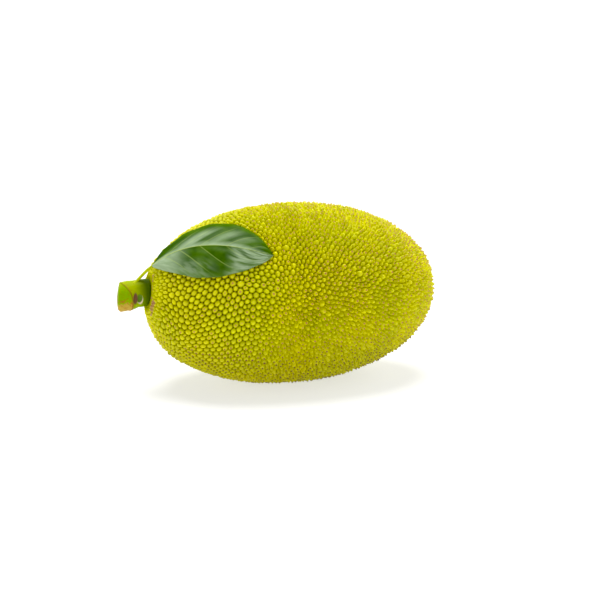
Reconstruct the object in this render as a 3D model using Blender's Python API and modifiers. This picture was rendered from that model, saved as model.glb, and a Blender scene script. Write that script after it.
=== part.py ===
"""A whole jackfruit lying on its side, with its cut stem and one leaf, at real size.

Metres, +Z up. The fruit's long axis runs along X, stem end at -X and far end at +X.
The origin is the middle of the small flat spot that the fruit rests on.

The fruit is modelled to the tips of its spikes. Its outline is a superellipse: an ellipse
whose exponent, the fullness, is a little over 2, so that the ends are blunter.
"""

import math

import bmesh
import bpy
from mathutils import Matrix, Vector

# Fruit
GIRTH_RADIUS = 0.090
STEM_END_REACH = 0.148
FAR_END_REACH = 0.151
STEM_END_FULLNESS = 2.18
FAR_END_FULLNESS = 2.11
RESTING_DEPTH = 0.0025
AXIS_HEIGHT = GIRTH_RADIUS - RESTING_DEPTH
OUTLINE_POINTS = 16
TURN_STEPS = 64

# Stem seat: the flat collar on the stem end, a little above the fruit's axis and facing
# slightly upwards
SEAT_RISE = 0.0105
SEAT_TILT = math.radians(7)
SEAT_DEPTH = 0.0025
CUTTER_SIZE = 0.4

# Stem: a thick stalk that bends down and sideways and swells towards its cut end
STEM_RADIUS = 0.0134
STEM_STRAIGHT = 0.006
STEM_END_SHIFT = Vector((-0.0275, 0.0065, -0.0045))
STEM_END_DIRECTION = Vector((-0.946, 0.275, -0.169))
STEM_END_PULL = 0.010
STEM_SWELLING = 0.09
STEM_SWELLING_STARTS = 0.45
STEM_SWELLING_SHARE = 0.2
STEM_ROUNDED_SHARE = 0.12
STEM_ROUNDING = 0.6
STEM_FIRST_SHARE = 0.02
STEM_POINTS = 18
STEM_BEVEL_RESOLUTION = 12

# Leaf: the midrib is a Bezier curve that arches over the fruit's shoulder
MIDRIB = (
    Vector((-0.1420, -0.0080, 0.1255)),
    Vector((-0.1065, -0.0410, 0.1650)),
    Vector((-0.0570, -0.0710, 0.1455)),
    Vector((-0.0390, -0.0710, 0.1410)),
)
BLADE_HALF_WIDTH = 0.0325
BLADE_BASE_HALF_WIDTH = 0.0012
BLADE_FULLEST = 0.763
BLADE_DROOP_RADIUS = 0.110
BLADE_RIDGE = math.radians(5)
BLADE_THICKNESS = 0.0009
BLADE_SHARE = (0.004, 0.996)
BLADE_STEPS_ALONG = 30
BLADE_STEPS_ACROSS = 12

# Leaf stalk: a Bezier curve from the top of the stem to the base of the blade
STALK = (
    Vector((-0.1568, -0.0030, 0.1114)),
    Vector((-0.1530, -0.0012, 0.1120)),
    Vector((-0.1461, -0.0042, 0.1209)),
    Vector((-0.1424, -0.0076, 0.1250)),
)
STALK_RADIUS = 0.00115
STALK_FOOT_FLARE = 0.25
STALK_POINTS = 14
STALK_BEVEL_RESOLUTION = 4

GAP = 0.0003

RIND_COLOR = (0.50, 0.50, 0.02, 1.0)
STEM_COLOR = (0.30, 0.45, 0.02, 1.0)
STALK_COLOR = (0.42, 0.55, 0.06, 1.0)
BLADE_COLOR = (0.05, 0.17, 0.02, 1.0)
RIND_ROUGHNESS = 0.5
STEM_ROUGHNESS = 0.45
BLADE_ROUGHNESS = 0.35
SHARP_ANGLE = math.radians(40)


def clear_scene():
    for thing in list(bpy.data.objects):
        bpy.data.objects.remove(thing, do_unlink=True)


def new_collection(name):
    collection = bpy.data.collections.new(name)
    bpy.context.scene.collection.children.link(collection)
    return collection


def new_material(name, color, roughness):
    material = bpy.data.materials.new(name)
    material.use_nodes = True
    shader = material.node_tree.nodes["Principled BSDF"]
    shader.inputs["Base Color"].default_value = color
    shader.inputs["Roughness"].default_value = roughness
    shader.inputs["Metallic"].default_value = 0.0
    return material


def add_object(name, data, collection, material=None):
    thing = bpy.data.objects.new(name, data)
    collection.objects.link(thing)
    if material is not None:
        data.materials.append(material)
    return thing


def bezier(points, share):
    """The point at a share, from 0 to 1, of a cubic Bezier curve."""
    a, b, c, d = points
    rest = 1.0 - share
    return a * rest**3 + b * (3 * rest**2 * share) + c * (3 * rest * share**2) + d * share**3


def bezier_direction(points, share):
    a, b, c, d = points
    rest = 1.0 - share
    slope = (b - a) * rest**2 + (c - b) * (2 * rest * share) + (d - c) * share**2
    return slope.normalized()


def spread(count):
    """Shares from 0 to 1 in equal steps."""
    return [step / (count - 1) for step in range(count)]


def rind_end(reach, fullness):
    """(place along the axis, radius) from the end of the fruit to its widest section."""
    points = []
    for share in spread(OUTLINE_POINTS):
        angle = share * math.pi / 2
        along = reach * max(math.cos(angle), 0.0) ** (2 / fullness)
        radius = GIRTH_RADIUS * math.sin(angle) ** (2 / fullness)
        points.append((along, radius))
    points[-1] = (0.0, GIRTH_RADIUS)
    return points


def rind_x(radius, reach, fullness):
    """Distance from the widest section to the rind at a radius from the axis."""
    return reach * (1 - (radius / GIRTH_RADIUS) ** fullness) ** (1 / fullness)


def rind_normal(point):
    """Outward direction of the rind near a point on the stem half."""
    across = Vector((0.0, point.y, point.z - AXIS_HEIGHT))
    power = STEM_END_FULLNESS - 1
    along = -((-point.x / STEM_END_REACH) ** power) / STEM_END_REACH
    outward = across.normalized() * ((across.length / GIRTH_RADIUS) ** power / GIRTH_RADIUS)
    return (Vector((along, 0.0, 0.0)) + outward).normalized()


def seat_frame():
    """The middle of the stem seat and the direction that it faces."""
    facing = Vector((-math.cos(SEAT_TILT), 0.0, math.sin(SEAT_TILT)))
    along = -rind_x(SEAT_RISE, STEM_END_REACH, STEM_END_FULLNESS)
    on_rind = Vector((along, 0.0, AXIS_HEIGHT + SEAT_RISE))
    return on_rind - facing * SEAT_DEPTH, facing


def box_beyond(name, point, facing, collection):
    """A cutter box that fills the space on the side of a plane that it faces."""
    mesh = bpy.data.meshes.new(name)
    body = bmesh.new()
    bmesh.ops.create_cube(body, size=CUTTER_SIZE)
    body.to_mesh(mesh)
    body.free()
    cutter = add_object(name, mesh, collection)
    turn = facing.to_track_quat("Z", "Y").to_matrix().to_4x4()
    cutter.matrix_world = Matrix.Translation(point + facing * CUTTER_SIZE / 2) @ turn
    cutter.hide_render = True
    cutter.display_type = "WIRE"
    return cutter


def cut(thing, cutter):
    boolean = thing.modifiers.new(cutter.name, "BOOLEAN")
    boolean.operation = "DIFFERENCE"
    boolean.object = cutter


def build_fruit(parts, cutters):
    """The rind, turned about its long axis, with the flat resting spot and the stem seat."""
    far_end = rind_end(FAR_END_REACH, FAR_END_FULLNESS)
    stem_end = [(-along, radius) for along, radius in rind_end(STEM_END_REACH, STEM_END_FULLNESS)]
    outline = far_end + stem_end[-2::-1]
    mesh = bpy.data.meshes.new("fruit")
    profile = bmesh.new()
    corners = [profile.verts.new((radius, 0.0, along)) for along, radius in outline]
    for upper, lower in zip(corners, corners[1:]):
        profile.edges.new((upper, lower))
    profile.to_mesh(mesh)
    profile.free()

    fruit = add_object("fruit", mesh, parts, new_material("rind", RIND_COLOR, RIND_ROUGHNESS))
    fruit.location = (0.0, 0.0, AXIS_HEIGHT)
    fruit.rotation_euler = (0.0, math.radians(90), 0.0)
    turning = fruit.modifiers.new("turning", "SCREW")
    turning.axis = "Z"
    turning.steps = TURN_STEPS
    turning.render_steps = TURN_STEPS
    turning.use_merge_vertices = True
    turning.merge_threshold = 0.00005
    turning.use_smooth_shade = True

    seat, facing = seat_frame()
    cut(fruit, box_beyond("stem_seat_cutter", seat, facing, cutters))
    cut(fruit, box_beyond("resting_spot_cutter", Vector((0, 0, 0)), Vector((0, 0, -1)), cutters))
    return fruit


def tube(name, points, radius, scales, bevel_resolution, collection, material):
    """A capped round rod along points, whose radius is scaled at each of them."""
    curve = bpy.data.curves.new(name, "CURVE")
    curve.dimensions = "3D"
    curve.bevel_depth = radius
    curve.bevel_resolution = bevel_resolution
    curve.use_fill_caps = True
    route = curve.splines.new("POLY")
    route.points.add(len(points) - 1)
    for place, point, scale in zip(route.points, points, scales):
        place.co = (*point, 1.0)
        place.radius = scale
    return add_object(name, curve, collection, material)


def stem_scale(share):
    """The stem's swelling towards the cut end, and the rounding of the cut's rim."""
    swollen = min(max((share - STEM_SWELLING_STARTS) / STEM_SWELLING_SHARE, 0.0), 1.0)
    scale = 1.0 + STEM_SWELLING * swollen
    rounding = max(share - (1.0 - STEM_ROUNDED_SHARE), 0.0) / STEM_ROUNDED_SHARE
    return scale * math.sqrt(1.0 - STEM_ROUNDING * rounding**2)


def build_stem(parts):
    """The stem, from its seat on the fruit to its rounded cut end."""
    seat, facing = seat_frame()
    start = seat + facing * GAP
    end = seat + STEM_END_SHIFT
    arrival = STEM_END_DIRECTION.normalized()
    axis = (start, start + facing * STEM_STRAIGHT, end - arrival * STEM_END_PULL, end)
    shares = [0.0, STEM_FIRST_SHARE] + spread(STEM_POINTS)[1:]
    points = [bezier(axis, share) for share in shares]
    points[1] = start + facing * (points[1] - start).length
    scales = [stem_scale(share) for share in shares]
    material = new_material("stem", STEM_COLOR, STEM_ROUGHNESS)
    return tube("stem", points, STEM_RADIUS, scales, STEM_BEVEL_RESOLUTION, parts, material)


def build_leaf_stalk(parts):
    """The thin stalk between the stem and the blade."""
    shares = spread(STALK_POINTS)
    points = [bezier(STALK, share) for share in shares]
    scales = [1.0 + STALK_FOOT_FLARE * (1.0 - share) ** 4 for share in shares]
    material = new_material("leaf_stalk", STALK_COLOR, STEM_ROUGHNESS)
    return tube("leaf_stalk", points, STALK_RADIUS, scales, STALK_BEVEL_RESOLUTION, parts, material)


def blade_half_width(share):
    width = BLADE_HALF_WIDTH * math.sin(math.pi * share**BLADE_FULLEST)
    return max(width, BLADE_BASE_HALF_WIDTH * (1.0 - share))


def blade_point(share, side):
    """A point of the blade. share runs from base to tip, side from -1 to 1 across the midrib."""
    centre = bezier(MIDRIB, share)
    along = bezier_direction(MIDRIB, share)
    up = rind_normal(centre)
    up = (up - along * up.dot(along)).normalized()
    across = up.cross(along)
    reach = side * blade_half_width(share)
    turn = reach / BLADE_DROOP_RADIUS
    drop = BLADE_DROOP_RADIUS * (1.0 - math.cos(turn)) + abs(reach) * math.tan(BLADE_RIDGE)
    return centre + across * (BLADE_DROOP_RADIUS * math.sin(turn)) - up * drop


def build_leaf_blade(parts):
    """The blade: a grid bent along the midrib, with a thin wall."""
    mesh = bpy.data.meshes.new("leaf_blade")
    blade = bmesh.new()
    bmesh.ops.create_grid(
        blade,
        x_segments=BLADE_STEPS_ALONG,
        y_segments=BLADE_STEPS_ACROSS,
        size=0.5,
    )
    first, last = BLADE_SHARE
    for corner in blade.verts:
        share = first + (last - first) * (corner.co.x + 0.5)
        corner.co = blade_point(share, corner.co.y * 2)
    blade.to_mesh(mesh)
    blade.free()
    material = new_material("leaf_blade", BLADE_COLOR, BLADE_ROUGHNESS)
    leaf = add_object("leaf_blade", mesh, parts, material)
    wall = leaf.modifiers.new("wall", "SOLIDIFY")
    wall.thickness = BLADE_THICKNESS
    wall.offset = 0.0
    return leaf


def shade(thing):
    thing.data.shade_smooth()
    thing.data.set_sharp_from_angle(angle=SHARP_ANGLE)


def main():
    clear_scene()
    parts = new_collection("jackfruit")
    cutters = new_collection("cutters")
    build_fruit(parts, cutters)
    build_stem(parts)
    build_leaf_stalk(parts)
    shade(build_leaf_blade(parts))


if __name__ == "__main__":
    main()
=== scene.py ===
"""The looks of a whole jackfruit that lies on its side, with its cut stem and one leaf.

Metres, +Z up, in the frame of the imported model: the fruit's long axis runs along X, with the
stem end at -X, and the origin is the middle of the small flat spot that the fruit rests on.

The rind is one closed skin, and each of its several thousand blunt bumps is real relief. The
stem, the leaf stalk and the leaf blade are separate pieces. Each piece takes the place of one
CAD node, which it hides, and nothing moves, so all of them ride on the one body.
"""

from __future__ import annotations

import logging
import math
import random
from bisect import bisect_left
from dataclasses import dataclass, field
from enum import Enum
from typing import ClassVar, Iterator, Sequence, Union

import bmesh
import bpy
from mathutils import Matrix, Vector, noise


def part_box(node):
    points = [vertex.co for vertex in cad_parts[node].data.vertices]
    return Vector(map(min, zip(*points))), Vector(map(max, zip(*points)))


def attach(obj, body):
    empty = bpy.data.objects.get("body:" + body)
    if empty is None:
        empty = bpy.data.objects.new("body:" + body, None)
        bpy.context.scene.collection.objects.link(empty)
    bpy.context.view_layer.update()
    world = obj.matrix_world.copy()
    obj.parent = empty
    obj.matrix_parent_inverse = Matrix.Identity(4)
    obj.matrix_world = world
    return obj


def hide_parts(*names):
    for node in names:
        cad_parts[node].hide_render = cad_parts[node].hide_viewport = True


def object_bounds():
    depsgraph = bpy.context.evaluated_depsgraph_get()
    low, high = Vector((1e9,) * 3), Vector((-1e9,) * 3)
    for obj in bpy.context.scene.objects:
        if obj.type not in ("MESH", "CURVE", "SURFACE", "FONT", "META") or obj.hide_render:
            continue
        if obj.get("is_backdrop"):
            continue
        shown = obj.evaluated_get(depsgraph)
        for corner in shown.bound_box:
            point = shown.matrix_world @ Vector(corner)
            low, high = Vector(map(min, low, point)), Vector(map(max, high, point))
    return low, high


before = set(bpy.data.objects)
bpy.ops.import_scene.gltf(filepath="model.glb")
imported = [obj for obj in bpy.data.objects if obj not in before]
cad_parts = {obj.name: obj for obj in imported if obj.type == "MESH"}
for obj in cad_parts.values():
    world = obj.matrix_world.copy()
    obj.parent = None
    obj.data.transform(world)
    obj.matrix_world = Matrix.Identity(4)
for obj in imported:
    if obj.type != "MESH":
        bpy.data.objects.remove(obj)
cad_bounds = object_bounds()

log = logging.getLogger("jackfruit")

Color = tuple[float, float, float]
Pair = tuple[float, float]
Zone = tuple[float, float]
Patches = tuple[float, float, float]
Curve = tuple[Vector, Vector, Vector, Vector]
Mesh = bmesh.types.BMesh
Corner = bmesh.types.BMVert
Layer = bmesh.types.BMLayerItem
Socket = bpy.types.NodeSocket
Value = Union[float, Sequence[float], Socket]
Setting = Union[str, bool, bpy.types.ID]

BODY = "root"
GOLDEN_ANGLE = math.pi * (3.0 - math.sqrt(5.0))
SEED = 7


class Slot(Enum):
    """The material slots, one for each piece."""

    RIND = "rind"
    STEM = "stem"
    LEAF_STALK = "leaf_stalk"
    LEAF_BLADE = "leaf_blade"


# ---------------------------------------------------------------------------------------------
# Plain arithmetic
# ---------------------------------------------------------------------------------------------


def smooth_step(low: float, high: float, value: float) -> float:
    """Eases from 0 at low to 1 at high, whichever of the two is greater."""
    share = min(max((value - low) / (high - low), 0.0), 1.0)
    return share * share * (3.0 - 2.0 * share)


def blend(first: float, second: float, share: float) -> float:
    """A number between two others."""
    return first + (second - first) * share


def hump(middle: float, width: float, value: float) -> float:
    """A bell curve that is 1 at its middle and has faded about two widths away."""
    return math.exp(-(((value - middle) / width) ** 2))


def bezier(points: Sequence[Vector], share: float) -> Vector:
    """The point at a share, from 0 to 1, of a cubic Bezier curve.

    Args:
        points: The curve's four points.
        share: From 0 at its start to 1 at its end.

    Returns:
        The point there.
    """
    a, b, c, d = points
    rest = 1.0 - share
    return a * rest**3 + b * (3 * rest**2 * share) + c * (3 * rest * share**2) + d * share**3


def bezier_direction(points: Sequence[Vector], share: float) -> Vector:
    """The direction of travel at a share, from 0 to 1, of a cubic Bezier curve.

    Args:
        points: The curve's four points.
        share: From 0 at its start to 1 at its end.

    Returns:
        The direction there, of length 1.
    """
    a, b, c, d = points
    rest = 1.0 - share
    slope = (b - a) * rest**2 + (c - b) * (2 * rest * share) + (d - c) * share**2
    return slope.normalized()


@dataclass(frozen=True)
class Swell:
    """A rise or a dip of the skin: its height, and its middle and width along some measure."""

    height: float
    middle: float
    width: float

    def at(self, value: float) -> float:
        """The height at a value of that measure."""
        return self.height * hump(self.middle, self.width, value)


# ---------------------------------------------------------------------------------------------
# The form that the pieces share
# ---------------------------------------------------------------------------------------------


@dataclass(frozen=True)
class FruitForm:
    """The fruit's outline through the tips of its bumps.

    It is a half superellipse towards each end, turned about the long axis. The fullness is the
    superellipse's exponent: an ellipse has 2, and a blunter end has more.
    """

    girth: float
    axis_height: float
    far_reach: float
    stem_reach: float = 0.148
    stem_fullness: float = 2.18
    far_fullness: float = 2.11

    @classmethod
    def from_frame(cls) -> FruitForm:
        """The form whose girth, height and far end are those of the CAD fruit."""
        _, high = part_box("fruit")
        return cls(girth=high.y, axis_height=high.z - high.y, far_reach=high.x)

    def station(self, angle: float) -> tuple[float, float]:
        """A place on the outline.

        Args:
            angle: 0 at the stem end's pole, a half turn at the far end's.

        Returns:
            The place along X and the radius there.
        """
        stem_half = angle < math.pi / 2
        fullness = self.stem_fullness if stem_half else self.far_fullness
        reach = -self.stem_reach if stem_half else self.far_reach
        power = 2.0 / fullness
        along = abs(math.cos(angle)) ** power
        return reach * along, self.girth * math.sin(angle) ** power

    def stem_x(self, radius: float) -> float:
        """The place along X at a radius on the stem half."""
        share = 1.0 - (radius / self.girth) ** self.stem_fullness
        return -self.stem_reach * share ** (1.0 / self.stem_fullness)

    def normal(self, point: Vector) -> Vector:
        """The outward direction of the outline near a point.

        Args:
            point: A point on the outline or near it.

        Returns:
            The direction, of length 1.
        """
        stem_half = point.x < 0.0
        fullness = self.stem_fullness if stem_half else self.far_fullness
        reach = self.stem_reach if stem_half else self.far_reach
        across = Vector((0.0, point.y, point.z - self.axis_height))
        power = fullness - 1.0
        along = math.copysign((abs(point.x) / reach) ** power / reach, point.x)
        outward = across.normalized() * ((across.length / self.girth) ** power / self.girth)
        return (Vector((along, 0.0, 0.0)) + outward).normalized()


@dataclass(frozen=True)
class StemSeat:
    """The flat collar on the stem end, which carries the stem."""

    form: FruitForm
    rise: float = 0.0105
    tilt: float = math.radians(7)
    depth: float = 0.0025

    @property
    def facing(self) -> Vector:
        """The direction that the collar faces."""
        return Vector((-math.cos(self.tilt), 0.0, math.sin(self.tilt)))

    @property
    def middle(self) -> Vector:
        """The middle of the collar."""
        height = self.form.axis_height + self.rise
        return Vector((self.form.stem_x(self.rise), 0.0, height)) - self.facing * self.depth

    def at(self, radius: float, turn: float) -> Vector:
        """A point of the collar, with the turn in degrees from its top towards -Y.

        Args:
            radius: How far it is from the collar's middle.
            turn: In degrees, from the top of the collar towards -Y.

        Returns:
            The point.
        """
        top = Vector((math.sin(self.tilt), 0.0, math.cos(self.tilt)))
        angle = math.radians(turn)
        return self.middle + (top * math.cos(angle) + Vector((0.0, -math.sin(angle), 0.0))) * radius

    def radius_of(self, point: Vector) -> float:
        """How far a point is from the line through the collar's middle."""
        offset = point - self.middle
        return (offset - self.facing * offset.dot(self.facing)).length


class Meridian:
    """Stations along the fruit's outline, from the stem end to the far end.

    The stretch is the integral of length over radius, measured from the widest place. It
    spreads the fruit over a unit sphere without changing the angles of any small shape.
    """

    STEPS = 900

    def __init__(self, form: FruitForm) -> None:
        """Walks along the outline.

        Args:
            form: The outline to walk.
        """
        self.along: list[float] = []
        self.radius: list[float] = []
        self.stretch: list[float] = []
        stretch = 0.0
        last = None
        for step in range(1, self.STEPS):
            x, radius = form.station(math.pi * step / self.STEPS)
            if last:
                length = math.hypot(x - last[0], radius - last[1])
                stretch += 2.0 * length / (radius + last[1])
            self.along.append(x)
            self.radius.append(radius)
            self.stretch.append(stretch)
            last = (x, radius)
        middle = self.between(self.along, self.stretch, 0.0)
        self.stretch = [value - middle for value in self.stretch]

    @staticmethod
    def between(keys: Sequence[float], values: Sequence[float], key: float) -> float:
        """The value at a key, worked out between the two nearest stations.

        Args:
            keys: A rising list, one for each station.
            values: The values at those keys.
            key: The key to look up.

        Returns:
            The value, held at the first or the last one beyond the ends.
        """
        after = min(max(bisect_left(keys, key), 1), len(keys) - 1)
        share = (key - keys[after - 1]) / (keys[after] - keys[after - 1])
        return blend(values[after - 1], values[after], min(max(share, 0.0), 1.0))

    def stem_stretch(self, radius: float) -> float:
        """The stretch at a radius on the stem half."""
        half = self.STEPS // 2 - 1
        return self.between(self.radius[:half], self.stretch[:half], radius)

    def at_stretch(self, stretch: float) -> tuple[float, float]:
        """The place along X and the radius at a stretch."""
        x = self.between(self.stretch, self.along, stretch)
        return x, self.between(self.stretch, self.radius, stretch)

    def direction(self, stretch: float, turn: float) -> Vector:
        """The point of the unit sphere that stands for a place on the fruit."""
        level = 1.0 / math.cosh(stretch)
        return Vector((math.tanh(stretch), level * math.cos(turn), level * math.sin(turn)))


# ---------------------------------------------------------------------------------------------
# Nodes
# ---------------------------------------------------------------------------------------------


class Graph:
    """Adds nodes to one node tree and joins them up."""

    SPACING = 180

    def __init__(self, tree: bpy.types.NodeTree) -> None:
        """Takes the tree of a material, a world or a group to work on."""
        self.tree = tree

    def feed(self, socket: Socket, value: Value) -> None:
        """Joins a socket to another node's, or sets its own value.

        Args:
            socket: The input to set.
            value: An output to join it to, or a value of its own.
        """
        if isinstance(value, Socket):
            self.tree.links.new(value, socket)
        elif socket.type == "RGBA":
            socket.default_value = (*value[:3], 1.0)
        else:
            socket.default_value = value

    def add(
        self, kind: str, inputs: dict[str, Value] | None = None, **settings: Setting
    ) -> bpy.types.Node:
        """Adds a node.

        Args:
            kind: The node's type.
            inputs: What goes into its sockets, by name or number.
            **settings: The node's own properties.

        Returns:
            The new node.
        """
        node = self.tree.nodes.new(kind)
        node.location = (self.SPACING * len(self.tree.nodes), 0.0)
        for name, value in settings.items():
            setattr(node, name, value)
        for name, value in (inputs or {}).items():
            self.feed(node.inputs[name], value)
        return node

    def math(self, operation: str, first: Value, second: Value = 0.0) -> Socket:
        """A sum, quotient or other function of numbers."""
        node = self.add("ShaderNodeMath", {0: first, 1: second}, operation=operation)
        return node.outputs["Value"]

    def times(self, first: Value, *others: Value) -> Socket:
        """The product of masks and numbers.

        Args:
            first: The first of them.
            *others: The others.

        Returns:
            Their product.
        """
        for other in others:
            first = self.math("MULTIPLY", first, other)
        return first

    def most(self, first: Value, *others: Value) -> Socket:
        """The greatest of some masks.

        Args:
            first: The first of them.
            *others: The others.

        Returns:
            The greatest at each place.
        """
        for other in others:
            first = self.math("MAXIMUM", first, other)
        return first

    def vector(self, operation: str, first: Value, second: Value = (0, 0, 0)) -> bpy.types.Node:
        """A sum, product or other function of vectors."""
        return self.add("ShaderNodeVectorMath", {0: first, 1: second}, operation=operation)

    def axes(self, vector: Value) -> tuple[Socket, Socket, Socket]:
        """A vector's three numbers."""
        outputs = self.add("ShaderNodeSeparateXYZ", {"Vector": vector}).outputs
        return outputs["X"], outputs["Y"], outputs["Z"]

    def noise(self, vector: Value, scale: Value, detail: Value) -> Socket:
        """A cloudy noise from 0 to 1."""
        inputs = {"Vector": vector, "Scale": scale, "Detail": detail}
        return self.add("ShaderNodeTexNoise", inputs).outputs["Fac"]

    def ease(self, value: Value, low: Value, high: Value) -> Socket:
        """Eases from 0 where the value is low to 1 where it is high; low may be the greater.

        Args:
            value: What it follows.
            low: Where it is 0.
            high: Where it is 1.

        Returns:
            A mask from 0 to 1.
        """
        inputs = {"Value": value, "From Min": low, "From Max": high}
        node = self.add("ShaderNodeMapRange", inputs, interpolation_type="SMOOTHSTEP")
        return node.outputs["Result"]

    def spread(self, value: Value, low: float, high: float) -> Socket:
        """Spreads a mask from 0 to 1 over the numbers from low to high."""
        node = self.add("ShaderNodeMapRange", {"Value": value, "To Min": low, "To Max": high})
        return node.outputs["Result"]

    def mix(self, share: Value, first: Value, second: Value, way: str = "MIX") -> Socket:
        """Mixes two colours.

        Args:
            share: How much of the second there is.
            first: The colour where the share is 0.
            second: The colour that is mixed in.
            way: The blend type.

        Returns:
            The mixed colour.
        """
        inputs = {0: share, 6: first, 7: second}
        return self.add("ShaderNodeMix", inputs, data_type="RGBA", blend_type=way).outputs[2]

    def attribute(self, name: str) -> Socket:
        """A number that the mesh carries."""
        return self.add("ShaderNodeAttribute", attribute_name=name).outputs["Fac"]

    def sheet(self, name: str) -> Socket:
        """The point on one of the mesh's UV maps."""
        return self.add("ShaderNodeUVMap", uv_map=name).outputs["UV"]

    def group(self, tree: bpy.types.NodeTree, **inputs: Value) -> Socket:
        """Places a shared group and gives its one output."""
        return self.add("ShaderNodeGroup", inputs, node_tree=tree).outputs[0]


def new_group(
    name: str, output: str, **inputs: float | None
) -> tuple[Graph, dict[str, Socket]]:
    """Starts a shared node group, which works on a vector.

    Args:
        name: The group's name.
        output: The name of its one output, a number.
        **inputs: The other inputs' names and usual values. Those without one are vectors.

    Returns:
        The graph to build it with, and its inputs' sockets by name. The output node is named
        "end".
    """
    tree = bpy.data.node_groups.new(name, "ShaderNodeTree")
    for label, value in {"Vector": None, **inputs}.items():
        kind = "NodeSocketVector" if value is None else "NodeSocketFloat"
        socket = tree.interface.new_socket(label, in_out="INPUT", socket_type=kind)
        if value is not None:
            socket.default_value = value
    tree.interface.new_socket(output, in_out="OUTPUT", socket_type="NodeSocketFloat")
    graph = Graph(tree)
    start = graph.add("NodeGroupInput")
    graph.add("NodeGroupOutput", name="end")
    return graph, {label: start.outputs[label] for label in ("Vector", *inputs)}


def end_group(graph: Graph, value: Socket) -> bpy.types.NodeTree:
    """Joins a number to a group's output and gives the finished group."""
    graph.feed(graph.tree.nodes["end"].inputs[0], value)
    return graph.tree


@dataclass(frozen=True)
class SharedGroups:
    """The effects that more than one finish uses, or that one finish uses many times."""

    mottle: bpy.types.NodeTree
    grain: bpy.types.NodeTree
    streak: bpy.types.NodeTree

    @classmethod
    def build(cls) -> SharedGroups:
        """Makes each group once."""
        return cls(cls.make_mottle(), cls.make_grain(), cls.make_streak())

    @staticmethod
    def make_mottle() -> bpy.types.NodeTree:
        """Soft uneven patches: 0 in some places, 1 in others.

        Returns:
            The finished group.
        """
        graph, given = new_group("mottle", "Mask", Size=0.02, Detail=2.0, Low=0.4, High=0.6)
        scale = graph.math("DIVIDE", 1.0, given["Size"])
        clouds = graph.noise(given["Vector"], scale, given["Detail"])
        return end_group(graph, graph.ease(clouds, given["Low"], given["High"]))

    @staticmethod
    def make_grain() -> bpy.types.NodeTree:
        """The fine unevenness of a plant's skin, as a height from 0 to 1.

        Returns:
            The finished group.
        """
        graph, given = new_group("skin_grain", "Height", Size=0.0008, Pores=0.4)
        scale = graph.math("DIVIDE", 1.0, given["Size"])
        cells = graph.add("ShaderNodeTexVoronoi", {"Vector": given["Vector"], "Scale": scale})
        pores = graph.times(cells.outputs["Distance"], given["Pores"])
        waves = graph.noise(given["Vector"], scale, 3.0)
        return end_group(graph, graph.math("ADD", waves, pores))

    @staticmethod
    def make_streak() -> bpy.types.NodeTree:
        """A streak with ragged edges between two points: 1 inside it, 0 outside.

        Returns:
            The finished group.
        """
        graph, given = new_group(
            "streak", "Mask", Start=None, End=None, Radius=0.002, Softness=0.3, Raggedness=0.25
        )
        run = graph.vector("SUBTRACT", given["End"], given["Start"]).outputs["Vector"]
        offset = graph.vector("SUBTRACT", given["Vector"], given["Start"]).outputs["Vector"]
        done = graph.vector("DOT_PRODUCT", offset, run).outputs["Value"]
        whole = graph.vector("DOT_PRODUCT", run, run).outputs["Value"]
        share = graph.add("ShaderNodeMath", {0: done, 1: whole}, operation="DIVIDE", use_clamp=True)
        nearest = graph.add("ShaderNodeVectorMath", {0: run}, operation="SCALE")
        graph.feed(nearest.inputs["Scale"], share.outputs["Value"])
        distance = graph.vector("DISTANCE", offset, nearest.outputs["Vector"]).outputs["Value"]
        ragged = graph.noise(given["Vector"], graph.math("DIVIDE", 0.7, given["Radius"]), 2.0)
        ragged = graph.times(graph.math("SUBTRACT", ragged, 0.5), given["Raggedness"])
        level = graph.math("ADD", graph.math("DIVIDE", distance, given["Radius"]), ragged)
        inner = graph.math("SUBTRACT", 1.0, given["Softness"])
        outer = graph.math("ADD", 1.0, given["Softness"])
        return end_group(graph, graph.ease(level, outer, inner))


@dataclass(frozen=True)
class Grain:
    """A skin's fine grain: its size, its pores' share and its depth, and the roughness it gives."""

    size: float
    pores: float
    depth: float
    smooth: float
    rough: float


class Skin(Graph):
    """A plant's skin in the making, with coats of colour laid one over the other."""

    def __init__(self, name: str, groups: SharedGroups, color: Color) -> None:
        """Starts a material.

        Args:
            name: The material's name.
            groups: The shared effects.
            color: The first coat.
        """
        self.material = bpy.data.materials.new(name)
        self.material.use_nodes = True
        super().__init__(self.material.node_tree)
        self.groups = groups
        self.color = color
        self.place = self.add("ShaderNodeTexCoord").outputs["Object"]

    def lay(self, color: Value, *masks: Value) -> None:
        """Lays on a coat where the masks allow it."""
        self.color = self.mix(self.times(*masks), self.color, color)

    def mottle(self, size: float, low: float, high: float) -> Socket:
        """Soft uneven patches of some size."""
        return self.group(self.groups.mottle, Vector=self.place, Size=size, Low=low, High=high)

    def grained(self, grain: Grain) -> Socket:
        """The height of the grain, from 0 to 1."""
        return self.group(self.groups.grain, Vector=self.place, Size=grain.size, Pores=grain.pores)

    def finish(self, height: Socket, depth: float, **shading: Value) -> bpy.types.Material:
        """Gives the shader its colour and its gloss.

        Args:
            height: The fine relief, from 0 to 1.
            depth: How deep that is, in metres.
            **shading: The shader's other sockets, with an underscore for each space.

        Returns:
            The finished material.
        """
        normal = self.add("ShaderNodeBump", {"Height": height, "Distance": depth})
        sockets = self.tree.nodes["Principled BSDF"].inputs
        self.feed(sockets["Base Color"], self.color)
        self.feed(sockets["Normal"], normal.outputs["Normal"])
        for name, value in shading.items():
            self.feed(sockets[name.replace("_", " ")], value)
        return self.material


# ---------------------------------------------------------------------------------------------
# Meshes
# ---------------------------------------------------------------------------------------------


def link_object(name: str, data: bpy.types.ID) -> bpy.types.Object:
    """Puts a new object into the scene.

    Args:
        name: The object's name.
        data: Its mesh, lamp or camera.

    Returns:
        The new object.
    """
    thing = bpy.data.objects.new(name, data)
    bpy.context.scene.collection.objects.link(thing)
    return thing


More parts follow.
